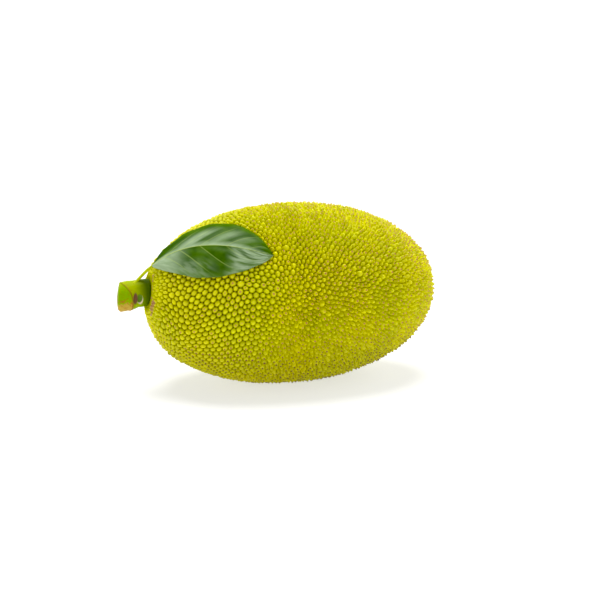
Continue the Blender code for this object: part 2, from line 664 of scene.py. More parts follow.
def add_object(name: str, body: Mesh, material: bpy.types.Material) -> bpy.types.Object:
    """Makes an object of a material from a mesh, which is freed.

    Args:
        name: The object's name.
        body: The mesh, which is freed.
        material: Its material.

    Returns:
        The new object.
    """
    mesh = bpy.data.meshes.new(name)
    body.to_mesh(mesh)
    body.free()
    mesh.materials.append(material)
    return link_object(name, mesh)


def put_in_order(body: Mesh) -> None:
    """Sorts a mesh's edges and faces, because solidify makes a rim's in no fixed order.

    Args:
        body: The mesh, whose points are in a fixed order already.
    """
    body.verts.index_update()
    count = len(body.verts)

    def rank(part: bmesh.types.BMEdge | bmesh.types.BMFace) -> int:
        """A number that no other edge, or no other face, has."""
        points = [corner.index for corner in part.verts]
        return min(points) * count + max(points)

    body.edges.sort(key=rank)
    body.faces.sort(key=rank)


def new_rod(sides: int, rings: int, end_rings: int) -> Mesh:
    """A closed round rod of radius 1 along Z, from 0 to 1, ready to be shaped.

    Args:
        sides: The number of faces round it.
        rings: The number of faces along it.
        end_rings: The number of rings of faces on each flat end, round a fan in the middle.

    Returns:
        The mesh.
    """
    rod = bmesh.new()
    bmesh.ops.create_cone(rod, cap_ends=True, segments=sides, radius1=1.0, radius2=1.0, depth=1.0)
    bmesh.ops.translate(rod, verts=rod.verts, vec=(0.0, 0.0, 0.5))
    ends = [face for face in rod.faces if len(face.verts) == sides]
    uprights = [edge for edge in rod.edges if abs(edge.verts[0].co.z - edge.verts[1].co.z) > 0.5]
    bmesh.ops.subdivide_edges(rod, edges=uprights, cuts=rings - 1)
    for end in ends:
        for _ in range(end_rings):
            bmesh.ops.inset_individual(rod, faces=[end], thickness=1.0 / (end_rings + 1))
    bmesh.ops.poke(rod, faces=ends)
    return rod


def unwrap_rod(rod: Mesh, name: str, radius: float, length: float) -> None:
    """Gives an unshaped rod a UV map in metres: how far round it, and how far along it.

    Args:
        rod: A rod from new_rod.
        name: The UV map's name.
        radius: The radius that the rod will have.
        length: The length that it will have.
    """
    sheet = rod.loops.layers.uv.new(name)
    for face in rod.faces:
        middle = face.calc_center_median()
        middle_turn = math.atan2(middle.y, middle.x)
        for loop in face.loops:
            point = loop.vert.co
            level = math.hypot(point.x, point.y)
            turn = math.atan2(point.y, point.x) if level > 0.001 else middle_turn
            if turn - middle_turn > math.pi:
                turn -= math.tau
            elif middle_turn - turn > math.pi:
                turn += math.tau
            over_end = (1.0 - level) * radius * (1.0 if point.z > 0.5 else -1.0)
            loop[sheet].uv = (turn * radius, point.z * length + over_end)


def rod_places(rod: Mesh) -> Iterator[tuple[Corner, float, float, float]]:
    """Walks over the points of an unshaped rod.

    Args:
        rod: A rod from new_rod.

    Yields:
        Each point, its share of the rod's length, its turn round the axis, and its level, which
        is 0 on the axis and 1 on the surface.
    """
    for corner in rod.verts:
        x, y, share = corner.co
        yield corner, share, math.atan2(y, x), math.hypot(x, y)


@dataclass(frozen=True)
class Limb:
    """A curved round limb: a Bezier axis, with the turn round it measured from the top.

    A turn of 0 is the top of the limb, and a quarter turn is its -Y side.
    """

    axis: Curve

    def length(self) -> float:
        """The length of the axis.

        Returns:
            The length in metres.
        """
        steps = 64
        points = [bezier(self.axis, step / steps) for step in range(steps + 1)]
        return sum((after - before).length for before, after in zip(points, points[1:]))

    def end(self) -> Vector:
        """The direction in which the limb ends."""
        return bezier_direction(self.axis, 1.0)

    def outward(self, share: float, turn: float) -> Vector:
        """The direction straight out of the limb at a share of its length and a turn.

        Args:
            share: From 0 at its foot to 1 at its end.
            turn: The turn round it, in radians.

        Returns:
            The direction, of length 1.
        """
        along = bezier_direction(self.axis, share)
        top = Vector((0.0, 0.0, 1.0))
        top = (top - along * top.dot(along)).normalized()
        side = along.cross(top)
        if side.y > 0.0:
            side.negate()
        return top * math.cos(turn) + side * math.sin(turn)


class Piece:
    """A piece of the jackfruit, which stands for one CAD node."""

    NAME: ClassVar[str]
    NODE: ClassVar[str]
    SLOT: ClassVar[Slot]

    def model(self) -> Mesh:
        """Models the piece."""
        raise NotImplementedError

    def dress(self, groups: SharedGroups) -> bpy.types.Material:
        """Makes the piece's material from the shared effects."""
        raise NotImplementedError

    def build(self, groups: SharedGroups) -> bpy.types.Object:
        """Makes the piece, and puts it on the body in place of its CAD node.

        Args:
            groups: The shared effects.

        Returns:
            The finished piece.
        """
        body = self.model()
        bmesh.ops.recalc_face_normals(body, faces=body.faces)
        piece = add_object(self.NAME, body, self.dress(groups))
        piece.data.shade_smooth()
        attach(piece, BODY)
        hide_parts(self.NODE)
        return piece


# ---------------------------------------------------------------------------------------------
# The rind
# ---------------------------------------------------------------------------------------------


@dataclass(frozen=True)
class RindFinish:
    """The rind's skin: yellow-green bumps, some tips dried, with painted highlight on the tips,
    painted shade in the creases, deepest in a band near the stem, and painted shade towards the
    floor.

    A zone's numbers are where it begins and where it is full, in metres from the middle of the
    collar or above the floor. A reach is the same on a bump, from 0 at its tip to 1 in a crease.
    """

    flank: Color = (0.650, 0.620, 0.002)
    fresh: Color = (0.520, 0.565, 0.002)
    # Painted highlight laid on the bump tips.
    painted_tip_highlight: Color = (0.700, 0.670, 0.006)
    # Painted shade laid in the creases between bumps.
    crease: Color = (0.520, 0.480, 0.001)
    # Deeper painted shade laid in the creases near the stem.
    painted_crease_shade: Color = (0.050, 0.046, 0.001)
    # Painted shade laid on the skin towards the floor.
    painted_bottom_shade: Color = (0.300, 0.240, 0.004)
    collar: Color = (0.400, 0.410, 0.002)
    dried: Color = (0.430, 0.160, 0.065)
    brown: Color = (0.120, 0.045, 0.022)
    corky: Color = (0.440, 0.200, 0.120)

    smooth_zone: Zone = (0.0215, 0.0175)
    deep_shade_from: Zone = (0.014, 0.042)
    deep_shade_to: Zone = (0.170, 0.100)
    bottom_shade_zone: Zone = (0.075, 0.020)
    brown_zone: Zone = (0.070, 0.030)

    tones: Pair = (0.86, 1.10)
    fresh_patches: Patches = (0.045, 0.38, 0.66)
    fresh_share: float = 0.5
    tip_highlight_reach: Zone = (0.7, 0.0)
    tip_highlight_share: float = 0.6
    crease_shade_reach: Pair = (0.72, 0.60)
    bottom_shade_share: float = 0.30
    dried_reach: Zone = (0.48, 0.10)
    corky_share: float = 0.85
    corky_softness: float = 0.35
    corky_raggedness: float = 1.1
    matt_reach: Zone = (0.55, 0.95)

    grain: Grain = Grain(0.0011, 0.5, 0.00015, 0.36, 0.50)
    gloss: float = 0.36
    gloss_roughness: float = 0.32

    def corky_patches(self, seat: StemSeat) -> tuple[tuple[Vector, Vector, float], ...]:
        """The dried patches round the collar: where each starts and ends, and its radius.

        Args:
            seat: Where the collar is.

        Returns:
            The start, the end and the radius of each.
        """
        return (
            (seat.at(0.0222, 104), seat.at(0.0234, 139), 0.0029),
            (seat.at(0.0218, 22), seat.at(0.0214, 30), 0.0021),
            (seat.at(0.0192, 38), seat.at(0.0188, 43), 0.0010),
            (seat.at(0.0180, 55), seat.at(0.0190, 82), 0.0004),
            (seat.at(0.0178, 94), seat.at(0.0178, 97), 0.0008),
            (seat.at(0.0186, 166), seat.at(0.0186, 172), 0.0009),
            (seat.at(0.0205, 235), seat.at(0.0214, 250), 0.0011),
            (seat.at(0.0190, 318), seat.at(0.0184, 330), 0.0007),
        )

    def material(self, groups: SharedGroups, seat: StemSeat) -> bpy.types.Material:
        """Builds the finish.

        Args:
            groups: The shared effects.
            seat: Where the smooth collar is.

        Returns:
            The material.
        """
        skin = Skin("jackfruit_rind", groups, self.flank)
        reach = skin.attribute(Rind.REACH)
        scar = skin.attribute(Rind.SCAR)
        tone = skin.spread(skin.attribute(Rind.TONE), *self.tones)
        from_seat = skin.vector("DISTANCE", skin.place, seat.middle).outputs["Value"]
        height = skin.axes(skin.place)[2]

        skin.lay(self.fresh, skin.mottle(*self.fresh_patches), self.fresh_share)
        # Painted highlight: the bump tips are laid lighter.
        skin.lay(self.painted_tip_highlight, skin.ease(reach, *self.tip_highlight_reach), self.tip_highlight_share)
        shade = skin.add("ShaderNodeCombineColor", {"Red": tone, "Green": tone, "Blue": tone})
        skin.color = skin.mix(1.0, skin.color, shade.outputs["Color"], "MULTIPLY")

        # Painted shade: the creases are laid darker, most of all in a band round the stem end.
        deep_shade = skin.times(
            skin.ease(from_seat, *self.deep_shade_from), skin.ease(from_seat, *self.deep_shade_to)
        )
        crease = skin.mix(deep_shade, self.crease, self.painted_crease_shade)
        skin.lay(crease, skin.ease(reach, skin.spread(deep_shade, *self.crease_shade_reach), 1.0))
        # Painted shade: the skin is laid darker towards the floor.
        skin.lay(self.painted_bottom_shade, skin.ease(height, *self.bottom_shade_zone), self.bottom_shade_share)
        dried = skin.mix(skin.ease(height, *self.brown_zone), self.dried, self.brown)
        skin.lay(dried, skin.ease(reach, *self.dried_reach), scar)

        smooth = skin.ease(from_seat, *self.smooth_zone)
        skin.lay(self.collar, smooth)
        look = {"Softness": self.corky_softness, "Raggedness": self.corky_raggedness}
        for start, end, radius in self.corky_patches(seat):
            place = {"Vector": skin.place, "Start": start, "End": end, "Radius": radius}
            skin.lay(self.corky, skin.group(groups.streak, **place, **look), self.corky_share)

        height = skin.grained(self.grain)
        matt = skin.most(smooth, skin.ease(reach, *self.matt_reach))
        return skin.finish(
            height,
            self.grain.depth,
            Roughness=skin.spread(height, self.grain.smooth, self.grain.rough),
            Specular_IOR_Level=0.0,
            Coat_Weight=skin.spread(matt, self.gloss, 0.0),
            Coat_Roughness=self.gloss_roughness,
        )


@dataclass(frozen=True)
class Bump:
    """One bump of the rind.

    The levels say how full it is: the skin's height on each ring round the tip, as a share of
    the bump's own height. A ball has two rings, and a spike one.
    """

    height: float
    ball_levels: Pair
    spike_levels: tuple[float]
    lean: Vector
    tone: float
    scar: float


@dataclass
class Rind(Piece):
    """The skin: a closed mesh in which every bump is a fan of faces round its tip.

    The bumps are balls near the stem and spikes towards the far end, and a pair of numbers is
    one for a ball and one for a spike. A zone is where a change begins and where it is full.
    """

    form: FruitForm
    seat: StemSeat
    finish: RindFinish = field(default_factory=RindFinish)
    dice: random.Random = field(default_factory=lambda: random.Random(SEED))

    seat_pitch: float = 0.0052
    ball_pitch: float = 0.0059
    spike_pitch: float = 0.0047
    ball_pitch_zone: Zone = (-0.143, -0.120)
    spike_pitch_zone: Zone = (-0.100, -0.005)
    pointed_zone: Zone = (-0.085, 0.0)
    crowded_top: float = 0.08
    ball_disorder: float = 0.12
    spike_disorder: float = 0.48
    evening_rounds: int = 3

    least_heights: Pair = (0.90, 0.82)
    greatest_height: float = 1.12
    shoulders: Pair = (0.87, 0.80)
    flanks: Pair = (0.54, 0.40)
    level_spread: float = 0.03
    spike_level: float = 0.72
    spike_level_spread: float = 0.04
    round_height: float = 0.0034
    spike_height: float = 0.0060
    round_depth: float = 0.0033
    spike_depth: float = 0.0051
    two_rings_to: float = 0.0
    ball_reaches: Pair = (0.42, 0.76)
    spike_reaches: tuple[float] = (0.54,)
    saddle: float = 0.42
    saddle_reach: float = 0.82
    saddles_to: float = -0.015
    lean: float = 0.00035

    weathered_end: Zone = (0.095, 0.120)
    weathered_height: Zone = (0.100, 0.125)
    weathered_underside: Zone = (0.085, 0.040)
    underside_share: float = 0.7
    fresh_shares: Pair = (0.76, 0.38)
    weathered_fresh_share: float = 0.15
    drying_span: float = 0.20
    dryness: Pair = (0.8, 1.0)
    weathered_dryness: float = 1.8
    lump_height: float = 0.0008
    lump_size: float = 0.045
    sag: Swell = Swell(-0.0016, -0.126, 0.016)
    resting_crease: float = 0.0007

    smooth_collar: float = 0.0170
    bumpy_from: float = 0.0225
    first_bumps: float = 0.72
    collar_crease: Swell = Swell(-0.0006, 0.0140, 0.0008)
    collar_rim: Swell = Swell(0.0005, 0.0172, 0.0016)
    seat_roundness: float = 0.0010
    seat_zone: Zone = (-0.0006, 0.0010)
    seat_nearness: float = -0.01
    hidden_rings: tuple[float, ...] = (0.0, 0.0045, 0.0090, 0.0122)
    collar_rings: tuple[float, ...] = (0.0140, 0.0156, 0.0174, 0.0191)
    radial_rings: tuple[float, ...] = (0.0232, 0.0294, 0.0358)
    radial_count: int = 56
    spiral_from: float = 0.0398
    hidden_gap: float = 0.0040
    collar_gap: float = 0.0023
    radial_disorder: float = 0.0007

    NAME = "rind"
    NODE = "fruit"
    SLOT = Slot.RIND
    REACH = "reach"
    TONE = "tone"
    SCAR = "scar"

    def __post_init__(self) -> None:
        """Walks along the outline."""
        self.meridian = Meridian(self.form)

    def pitch_at(self, x: float) -> float:
        """The distance between neighbouring bumps at a place along the fruit."""
        pitch = blend(self.seat_pitch, self.ball_pitch, smooth_step(*self.ball_pitch_zone, x))
        return blend(pitch, self.spike_pitch, smooth_step(*self.spike_pitch_zone, x))

    def pointed_at(self, x: float) -> float:
        """How pointed the bumps are: 0 for the balls near the stem, 1 for the spikes."""
        return smooth_step(*self.pointed_zone, x)

    def seat_tips(self) -> Iterator[Vector]:
        """Rings of places round the stem: a smooth collar, then long narrow bumps.

        Yields:
            Each place's direction on the unit sphere.
        """
        rings = [(ring, self.hidden_gap) for ring in self.hidden_rings]
        rings += [(ring, self.collar_gap) for ring in self.collar_rings]
        rings = [(ring, max(round(math.tau * ring / gap), 1), 0.0) for ring, gap in rings]
        rings += [(ring, self.radial_count, self.radial_disorder) for ring in self.radial_rings]
        for order, (ring, count, shift) in enumerate(rings):
            for index in range(count):
                turn = math.tau * (index + order / 2) / count
                turn += self.dice.uniform(-shift, shift) / max(ring, self.hidden_gap)
                distance = ring + self.dice.uniform(-shift, shift)
                y = distance * math.cos(turn)
                z = distance * math.sin(turn) + self.seat.rise
                stretch = self.meridian.stem_stretch(math.hypot(y, z))
                yield self.meridian.direction(stretch, math.atan2(z, y))

    def spiral_tips(self) -> Iterator[Vector]:
        """Bumps in a golden-angle spiral from end to end, with some disorder.

        Yields:
            Each bump's direction on the unit sphere.
        """
        counts = [0.0]
        row_gap = math.sin(math.radians(60))
        stations = list(zip(self.meridian.along, self.meridian.radius))
        for (x, radius), (next_x, next_radius) in zip(stations, stations[1:]):
            band = math.tau * radius * math.hypot(next_x - x, next_radius - radius)
            counts.append(counts[-1] + band / (row_gap * self.pitch_at(x) ** 2))
        for index in range(int(counts[-1])):
            stretch = self.meridian.between(counts, self.meridian.stretch, index + 0.5)
            turn = index * GOLDEN_ANGLE % math.tau
            turn -= self.crowded_top * math.sin(turn)
            x, radius = self.meridian.at_stretch(stretch)
            place = Vector((x, radius * math.cos(turn), radius * math.sin(turn)))
            place.z += self.form.axis_height
            if x > 0.0 or self.seat.radius_of(place) > self.spiral_from:
                shift = blend(self.ball_disorder, self.spike_disorder, self.pointed_at(x))
                shift *= self.pitch_at(x) / radius
                stretch += self.dice.uniform(-shift, shift)
                turn += self.dice.uniform(-shift, shift)
                yield self.meridian.direction(stretch, turn)

    def grow(self) -> Mesh:
        """Spreads the bumps over a unit sphere and gives each one its faces.

        Returns:
            The mesh, with a reach of 0 at a tip and 1 in the creases.
        """
        skin = bmesh.new()
        reach = skin.verts.layers.float.new(self.REACH)
        for direction in (*self.seat_tips(), *self.spiral_tips()):
            skin.verts.new(direction)
        bmesh.ops.convex_hull(skin, input=skin.verts)
        every_way = {"use_axis_x": True, "use_axis_y": True, "use_axis_z": True}
        for _ in range(self.evening_rounds):
            bmesh.ops.smooth_vert(skin, verts=skin.verts, factor=0.5, **every_way)
            for corner in skin.verts:
                corner.co.normalize()
        between_tips = list(skin.edges)
        for corner in bmesh.ops.poke(skin, faces=skin.faces)["verts"]:
            corner[reach] = 1.0
        bmesh.ops.rotate_edges(skin, edges=between_tips, use_ccw=False)
        balls, spikes = [], []
        for edge in skin.edges:
            tip, crease = sorted(edge.verts, key=lambda corner: corner[reach])
            if tip[reach] < crease[reach]:
                is_ball = self.envelope(tip.co)[0].x < self.two_rings_to
                (balls if is_ball else spikes).append(edge)
        bmesh.ops.subdivide_edges(skin, edges=balls, cuts=len(self.ball_reaches))
        bmesh.ops.subdivide_edges(skin, edges=spikes, cuts=len(self.spike_reaches))
        return skin

    def envelope(self, direction: Vector) -> tuple[Vector, Vector]:
        """A place on the outline through the tips, with the stem seat cut flat.

        The blunt end sags a little behind its collar.

        Args:
            direction: The place's direction on the unit sphere.

        Returns:
            The place and the outward direction there.
        """
        level = math.hypot(direction.y, direction.z)
        x, radius = self.meridian.at_stretch(math.asinh(direction.x / level))
        across = radius / level
        place = Vector((x, direction.y * across, direction.z * across + self.form.axis_height))
        normal = self.form.normal(place)
        place.z += self.sag.at(x)
        facing = self.seat.facing
        over = (place - self.seat.middle).dot(facing)
        if over > self.seat_nearness:
            place -= facing * (over + math.hypot(over, self.seat_roundness)) / 2
            normal = normal.lerp(facing, smooth_step(*self.seat_zone, over)).normalized()
        return place, normal

    def relief(self, place: Vector) -> tuple[float, float]:
        """The height of the bumps at a place, and how far the skin there is raised.

        Args:
            place: A place on the outline.

        Returns:
            The bumps' height as a share of the usual one, and the raise in metres.
        """
        lump = noise.noise(place / self.lump_size) * self.lump_height
        from_stem = self.seat.radius_of(place)
        if place.x > 0.0 or from_stem > self.spiral_from:
            return 1.0, lump
        share = smooth_step(self.smooth_collar, self.bumpy_from, from_stem)
        grown = smooth_step(self.bumpy_from, self.spiral_from, from_stem)
        share *= blend(self.first_bumps, 1.0, grown)
        raised = lump * share + self.collar_crease.at(from_stem)
        return share, raised + self.collar_rim.at(from_stem)

    def draw_bump(self, place: Vector) -> Bump:
        """Draws one bump: round near the stem, more pointed towards the far end.

        Args:
            place: Where its tip is.

        Returns:
            The bump.
        """
        draw = self.dice.uniform
        share, _ = self.relief(place)
        pointed = self.pointed_at(place.x)
        lean = Vector([draw(-1, 1) for _ in range(3)])
        weathered = smooth_step(*self.weathered_end, place.x)
        weathered *= smooth_step(*self.weathered_height, place.z)
        underside = smooth_step(*self.weathered_underside, place.z) * self.underside_share
        weathered = max(weathered, underside)
        fresh = blend(blend(*self.fresh_shares, pointed), self.weathered_fresh_share, weathered)
        dryness = max(blend(*self.dryness, pointed), self.weathered_dryness * weathered)
        height = blend(self.round_height, self.spike_height, pointed)
        height *= draw(blend(*self.least_heights, pointed), self.greatest_height)
        shoulder = blend(*self.shoulders, pointed) + draw(-self.level_spread, self.level_spread)
        flank = blend(*self.flanks, pointed) + draw(-self.level_spread, self.level_spread)
        spike_level = self.spike_level + draw(-self.spike_level_spread, self.spike_level_spread)
        return Bump(
            height=height * share,
            ball_levels=(shoulder, flank),
            spike_levels=(spike_level,),
            lean=lean * self.lean * share,
            tone=self.dice.random(),
            scar=smooth_step(fresh, fresh + self.drying_span, self.dice.random())
            * dryness
            * share,
        )

    @staticmethod
    def spoke_points(tip: Corner, spoke: bmesh.types.BMEdge, reach: Layer) -> list[Corner]:
        """The points from a tip out to a crease.

        Args:
            tip: The bump's tip.
            spoke: The first edge of the spoke.
            reach: The layer with each point's reach.

        Returns:
            The points on each ring round the tip, and the one in the crease.
        """
        points = [spoke.other_vert(tip)]
        while points[-1][reach] < 1.0:
            beyond = [edge.other_vert(points[-1]) for edge in points[-1].link_edges]
            points.append(max(beyond, key=lambda corner: corner[reach]))
        return points

    def has_saddle(self, edge: bmesh.types.BMEdge, reach: Layer) -> bool:
        """Whether an edge is the crease between two balls, which touch midway along it.

        Args:
            edge: An edge of the skin on the unit sphere.
            reach: The layer with each point's reach.

        Returns:
            True if the edge needs a raised point midway.
        """
        start, end = edge.verts
        if min(start[reach], end[reach]) < 1.0:
            return False
        place, _ = self.envelope(start.co)
        return place.x < self.saddles_to and self.seat.radius_of(place) > self.bumpy_from

    def model(self) -> Mesh:
        """Lays the skin over the fruit and raises its bumps.

        Returns:
            The mesh, with each point's reach and each face's tone and scar.
        """
        skin = self.grow()
        reach = skin.verts.layers.float[self.REACH]
        height = skin.verts.layers.float.new("height")
        lean = skin.verts.layers.float_vector.new("lean")
        tone = skin.faces.layers.float.new(self.TONE)
        scar = skin.faces.layers.float.new(self.SCAR)
        for tip in [corner for corner in skin.verts if corner[reach] == 0.0]:
            bump = self.draw_bump(self.envelope(tip.co)[0])
            tip[height] = bump.height
            tip[lean] = bump.lean
            for spoke in [edge for edge in tip.link_edges if edge.other_vert(tip)[reach] > 0.0]:
                *rings, crease = self.spoke_points(tip, spoke, reach)
                is_ball = len(rings) == len(self.ball_reaches)
                reaches = self.ball_reaches if is_ball else self.spike_reaches
                levels = bump.ball_levels if is_ball else bump.spike_levels
                for corner, share, level in zip(rings, reaches, levels):
                    corner.co = tip.co.lerp(crease.co, share)
                    corner[reach] = share
                    corner[height] = bump.height * level
                    corner[lean] = bump.lean * level
                    for face in corner.link_faces:
                        face[tone] = bump.tone
                        face[scar] = bump.scar
        rims = [edge for edge in skin.edges if self.has_saddle(edge, reach)]
        split = bmesh.ops.subdivide_edges(skin, edges=rims, cuts=1, use_single_edge=True)
        for saddle in split["geom_inner"]:
            if isinstance(saddle, Corner):
                share, _ = self.relief(self.envelope(saddle.co)[0])
                saddle[height] = self.saddle * self.round_height * share
                saddle[reach] = self.saddle_reach
        for corner in skin.verts:
            place, normal = self.envelope(corner.co)
            share, raised = self.relief(place)
            depth = blend(self.round_depth, self.spike_depth, self.pointed_at(place.x))
            lift = corner[height] - depth * share + raised
            corner.co = place + normal * lift + corner[lean]
            corner.co.z = max(corner.co.z, self.resting_crease * corner[reach])
        skin.verts.layers.float.remove(height)
        skin.verts.layers.float_vector.remove(lean)
        return skin

    def dress(self, groups: SharedGroups) -> bpy.types.Material:
        """Makes the rind's material."""
        return self.finish.material(groups, self.seat)


# ---------------------------------------------------------------------------------------------
# The stem
# ---------------------------------------------------------------------------------------------


@dataclass(frozen=True)
class Oval:
    """An oval place on the stem, in metres along it and in radians round it.

    The slant is how many metres further along its lower end lies, for each radian round.
    """

    along: float
    turn: float
    half_along: float
    half_round: float
    slant: float = 0.0

    def depth(self, along: float, turn: float, radius: float) -> float:
        """How far inside the oval a place is: 1 in the middle, 0 at the rim and outside.

        Args:
            along: How far along the stem the place is.
            turn: Its turn round the stem.
            radius: The stem's radius.

        Returns:
            The depth, from 0 to 1.
        """
        round_it = turn - self.turn
        x = (along - self.along - self.slant * round_it) / self.half_along
        y = round_it * radius / self.half_round
        return max(1.0 - math.hypot(x, y), 0.0)

    def mask(self, skin: Skin, sheet: Socket, radius: float, softness: float) -> Socket:
        """Draws the oval on the stem's UV map.

        Args:
            skin: The stem's skin.
            sheet: The point on the UV map.
            radius: The stem's radius.
            softness: How much of the oval its soft edge takes.

        Returns:
            A mask that is 1 inside and 0 outside.
        """
        across = skin.vector("SUBTRACT", sheet, (self.turn * radius, self.along, 0.0))
        x, y, _ = skin.axes(across.outputs["Vector"])
        y = skin.math("SUBTRACT", y, skin.times(x, self.slant / radius))
        x = skin.math("DIVIDE", x, self.half_round)
        y = skin.math("DIVIDE", y, self.half_along)
        level = skin.math("SQRT", skin.math("ADD", skin.times(x, x), skin.times(y, y)))
        return skin.ease(level, 1.0 + softness, 1.0 - softness)


@dataclass(frozen=True)
class StemFinish:
    """The stem's skin: limy green, with painted shade where it joins the fruit, and dried scars.

    A zone's numbers are where it begins and where it is full: in radians round the stem from its
    top where the name says turns, as a share of the cut face for the wood, and otherwise in
    metres along the stem or past the ring scar.
    """

    lime: Color = (0.370, 0.440, 0.002)
    green: Color = (0.230, 0.400, 0.002)
    # Painted shade where the stem joins the fruit.
    painted_junction_shade: Color = (0.062, 0.110, 0.001)
    fresh: Color = (0.260, 0.390, 0.003)
    tan: Color = (0.490, 0.340, 0.050)
    rust: Color = (0.380, 0.160, 0.018)
    ring: Color = (0.230, 0.120, 0.015)
    purple: Color = (0.150, 0.052, 0.042)
    pale: Color = (0.800, 0.620, 0.470)
    hollow: Color = (0.090, 0.180, 0.025)
    cut_wood: Color = (0.480, 0.360, 0.170)
    grain: Grain = Grain(0.0009, 0.3, 0.00012, 0.34, 0.50)
    specular: float = 0.03

    blotches: Patches = (0.0026, 0.50, 0.62)
    fresh_patches: Patches = (0.007, 0.35, 0.65)
    fresh_share: float = 0.30
    past_ring_zone: Zone = (0.0, 0.0008)
    green_turns: Zone = (0.35, 0.95)
    green_shares: Pair = (0.35, 0.95)
    fresh_turns: Zone = (1.55, 1.95)
    fresh_turns_share: float = 0.85
    junction_shade_turns: Zone = (0.3, 1.5)
    junction_shade_starts: Pair = (0.0022, 0.0010)
    junction_shade_zone: Zone = (0.0125, 0.0)
    rust_turns: Zone = (1.05, 2.0)
    near_ring_zone: Zone = (-0.0050, -0.0015)
    near_ring_shares: Pair = (0.40, 0.15)
    ragged_patches: Patches = (0.0040, 0.30, 0.70)
    raggedness: Pair = (-0.0016, 0.0016)
    dried_turns: Zone = (1.86, 2.04)
    dried_zone: Zone = (-0.0012, -0.0002)
    dried_rust_share: float = 0.55
    ring_zone: Zone = (0.0009, 0.0001)
    ring_share: float = 0.85
    hollow_softness: float = 0.20
    hollow_share: float = 0.85
    lip_softness: float = 0.12
    bundle_softness: float = 0.30
    bundle_share: float = 0.92
    wood_patches: Patches = (0.0016, 0.4, 0.6)
    wood_rust_share: float = 0.5
    wood_zone: Zone = (0.35, 0.6)

    def lay_greens(self, skin: Skin, sheet: Socket, radius: float) -> None:
        """Lays the skin's greens, the painted shade where it joins the fruit, its dried underside
        and its ring scar.

        Args:
            skin: The stem's skin.
            sheet: The point on the stem's UV map.
            radius: The stem's radius.
        """
        around, along, _ = skin.axes(sheet)

        def ease_round(value: Socket, turns: Zone) -> Socket:
            """Eases over a zone of turns, on the UV map's metres round the stem."""
            return skin.ease(value, radius * turns[0], radius * turns[1])

        beyond = skin.attribute(Stem.BEYOND_RING)
        past_ring = skin.ease(beyond, *self.past_ring_zone)
        blotches = skin.mottle(*self.blotches)

        skin.lay(self.fresh, skin.mottle(*self.fresh_patches), self.fresh_share)
        front = ease_round(around, self.green_turns)
        skin.lay(self.green, past_ring, skin.spread(front, *self.green_shares))
        skin.lay(self.fresh, ease_round(around, self.fresh_turns), self.fresh_turns_share)
        # Painted shade: a deep green band on the stem where it joins the fruit, wider on some
        # sides.
        junction_shade_from = skin.spread(ease_round(around, self.junction_shade_turns), *self.junction_shade_starts)
        past_collar = skin.math("SUBTRACT", along, junction_shade_from)
        skin.lay(self.painted_junction_shade, skin.ease(past_collar, *self.junction_shade_zone))

        skin.lay(self.rust, blotches, ease_round(around, self.rust_turns), past_ring)
        near_ring = skin.ease(beyond, *self.near_ring_zone)
        skin.lay(self.rust, blotches, near_ring, skin.spread(past_ring, *self.near_ring_shares))
        ragged = skin.spread(skin.mottle(*self.ragged_patches), *self.raggedness)
        under = ease_round(skin.math("ADD", around, ragged), self.dried_turns)
        dried = skin.times(under, skin.ease(beyond, *self.dried_zone))
        skin.lay(self.tan, dried)
        skin.lay(self.rust, blotches, dried, self.dried_rust_share)
        from_ring = skin.math("ABSOLUTE", beyond)
        skin.lay(self.ring, skin.ease(from_ring, *self.ring_zone), self.ring_share)

    def material(self, groups: SharedGroups, stem: Stem) -> bpy.types.Material:
        """Builds the finish.

        Args:
            groups: The shared effects.
            stem: The stem, for the places of its scars.

        Returns:
            The material.
        """
        skin = Skin("jackfruit_stem", groups, self.lime)
        sheet = skin.sheet(Stem.SHEET)
        self.lay_greens(skin, sheet, stem.radius)

        hollow = stem.leaf_hollow.mask(skin, sheet, stem.radius, self.hollow_softness)
        skin.lay(self.hollow, hollow, self.hollow_share)
        lip = stem.hollow_lip.mask(skin, sheet, stem.radius, self.lip_softness)
        skin.lay(self.pale, hollow, skin.math("SUBTRACT", 1.0, lip))
        bundle = stem.bundle_scar.mask(skin, sheet, stem.radius, self.bundle_softness)
        skin.lay(self.purple, bundle, self.bundle_share)

        rings = skin.times(skin.mottle(*self.wood_patches), self.wood_rust_share)
        wood = skin.mix(rings, self.cut_wood, self.rust)
        skin.lay(wood, skin.ease(skin.attribute(Stem.CUT), *self.wood_zone))

        height = skin.grained(self.grain)
        return skin.finish(
            height,
            self.grain.depth,
            Roughness=skin.spread(height, self.grain.smooth, self.grain.rough),
            Specular_IOR_Level=self.specular,
        )


